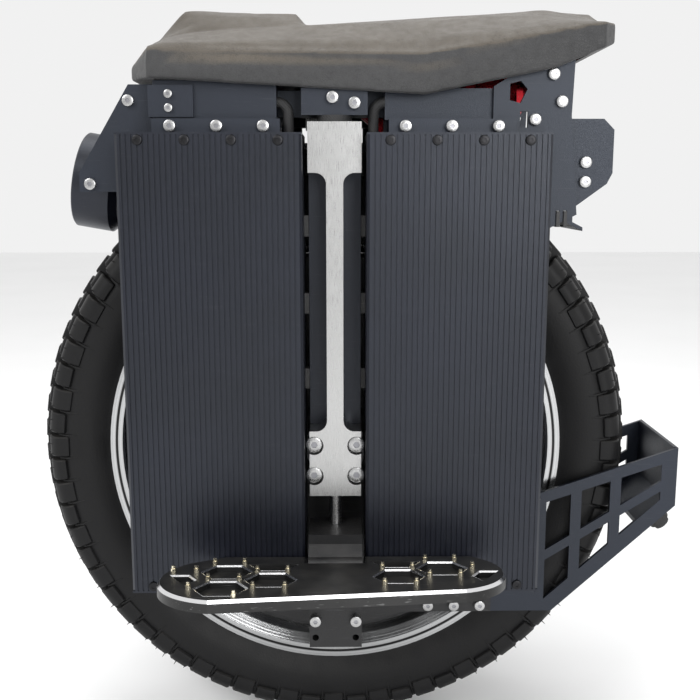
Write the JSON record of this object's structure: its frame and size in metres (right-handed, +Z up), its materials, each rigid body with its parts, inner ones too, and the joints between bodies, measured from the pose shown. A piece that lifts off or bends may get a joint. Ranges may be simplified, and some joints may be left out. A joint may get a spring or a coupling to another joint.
{
  "type": "electric unicycle",
  "caption": "Seated electric unicycle: knobbly motor wheel between battery boxes on slider bars, folding pedals, rear stand, headlight and padded seat.",
  "frame": {"origin": "the tyre's contact point on the ground, under the middle of the axle", "axes": "+X to the rear of the vehicle, +Y along the axle to the rider's right, +Z up; the headlight faces -X"},
  "size_m": [0.5398, 0.455, 0.6039],
  "materials": {
    "tyre_rubber": "matte moulded rubber",
    "polished_alloy": "polished alloy",
    "cast_black": "satin black paint on cast alloy",
    "magnet_steel": "plated steel",
    "steel": "bright steel",
    "bare_alloy": "machined bare alloy",
    "dark_anodised": "dark anodised alloy",
    "black_screws": "black oxide",
    "powder_coat": "satin powder coat",
    "pedal_alloy": "black anodised alloy",
    "brass_studs": "plain",
    "rubber_black": "matte",
    "glide_plastic": "self-lubricating plastic",
    "black_plastic": "moulded",
    "cell_wrap": "heat-shrink wrap",
    "circuit_board": "lacquered laminate",
    "lamp_mirror": "vapour-plated",
    "lamp_glass": "clear",
    "red_lens": "moulded lens",
    "red_anodised": "red anodised alloy",
    "seat_cover": "grained vinyl"
  },
  "bodies": {
    "carrier": {"axle": "steel", "stator": "magnet_steel", "axle_clamps": "cast_black", "slider_bars": "bare_alloy", "slide_rails": "dark_anodised", "fork_bridge": "bare_alloy", "pedal_rods": "steel", "pedal_hangers": "cast_black", "pedal_hinge_pins": "steel", "rear_stand": "powder_coat", "stand_feet": "rubber_black", "frame_screws": "steel"},
    "wheel": {"tyre": "tyre_rubber", "rim": "polished_alloy", "motor_cover_left": "cast_black", "motor_cover_right": "cast_black", "magnet_ring": "magnet_steel", "hub_bearings": "magnet_steel", "cover_screws": "steel"},
    "left_pedal": {"pedal_plate_left": "pedal_alloy", "pedal_studs_left": "brass_studs"},
    "right_pedal": {"pedal_plate_right": "pedal_alloy", "pedal_studs_right": "brass_studs"},
    "chassis": {"battery_cover_front_left": "dark_anodised", "battery_cover_front_right": "dark_anodised", "battery_cover_rear_left": "dark_anodised", "battery_cover_rear_right": "dark_anodised", "battery_packs": "cell_wrap", "box_end_caps": "dark_anodised", "box_screws": "black_screws", "guide_blocks": "glide_plastic", "mounting_strips": "powder_coat", "head_blocks": "powder_coat", "bump_stops": "rubber_black", "rear_rails": "powder_coat", "rocker_shaft": "steel", "controller_case": "powder_coat", "controller_board": "circuit_board", "front_side_plates": "powder_coat", "rear_side_plates": "powder_coat", "rear_wings": "powder_coat", "tail_light_housing": "black_plastic", "tail_light_lens": "red_lens", "cross_tubes": "powder_coat", "chassis_screws": "steel", "headlight_body": "dark_anodised", "headlight_lens": "lamp_glass", "headlight_reflector": "lamp_mirror", "splash_guard": "powder_coat", "cable_ties": "black_plastic", "battery_leads": "rubber_black", "charge_port": "black_plastic", "shock_can": "red_anodised", "seat_cushion": "seat_cover", "seat_base": "black_plastic"},
    "rocker": {"rocker": "red_anodised", "rocker_pins": "steel"},
    "shock_shaft": {"shock_shaft": "steel"},
    "power_button": {"power_button": "black_plastic"},
    "charge_cap": {"charge_cap": "rubber_black"}
  },
  "joints": [
    {"name": "wheel_spin", "type": "hinge", "parent": "carrier", "child": "wheel", "pos_m": [0, 0, 0.252], "axis": [0, 1, 0], "continuous": true},
    {"name": "suspension_slide", "type": "slide", "parent": "carrier", "child": "chassis", "axis": [0, 0, 1], "range_m": [0, 0.07]},
    {"name": "left_pedal_fold", "type": "hinge", "parent": "carrier", "child": "left_pedal", "pos_m": [0, -0.13, 0.184], "axis": [-1, 0, 0], "range_deg": [0, 76]},
    {"name": "right_pedal_fold", "type": "hinge", "parent": "carrier", "child": "right_pedal", "pos_m": [0, 0.13, 0.184], "axis": [1, 0, 0], "range_deg": [0, 76]},
    {"name": "rocker_turn", "type": "hinge", "parent": "chassis", "child": "rocker", "pos_m": [0.048, 0, 0.518], "axis": [0, -1, 0], "range_deg": [0, 71.38]},
    {"name": "shock_stroke", "type": "slide", "parent": "chassis", "child": "shock_shaft", "axis": [-0.9954, 0, -0.0958], "range_m": [0, 0.02918]},
    {"name": "power_button_press", "type": "slide", "parent": "chassis", "child": "power_button", "axis": [0, -1, 0], "range_m": [0, 0.0015], "stiffness_N_per_m": 800},
    {"name": "charge_cap_lift", "type": "hinge", "parent": "chassis", "child": "charge_cap", "pos_m": [-0.088, 0.09555, 0.541], "axis": [1, 0, 0], "range_deg": [0, 85]}
  ],
  "couplings": [
    {"joint": "rocker_turn", "follows": "suspension_slide", "rad_per_m": 17.795},
    {"joint": "shock_stroke", "follows": "suspension_slide", "ratio": 0.41667}
  ]
}
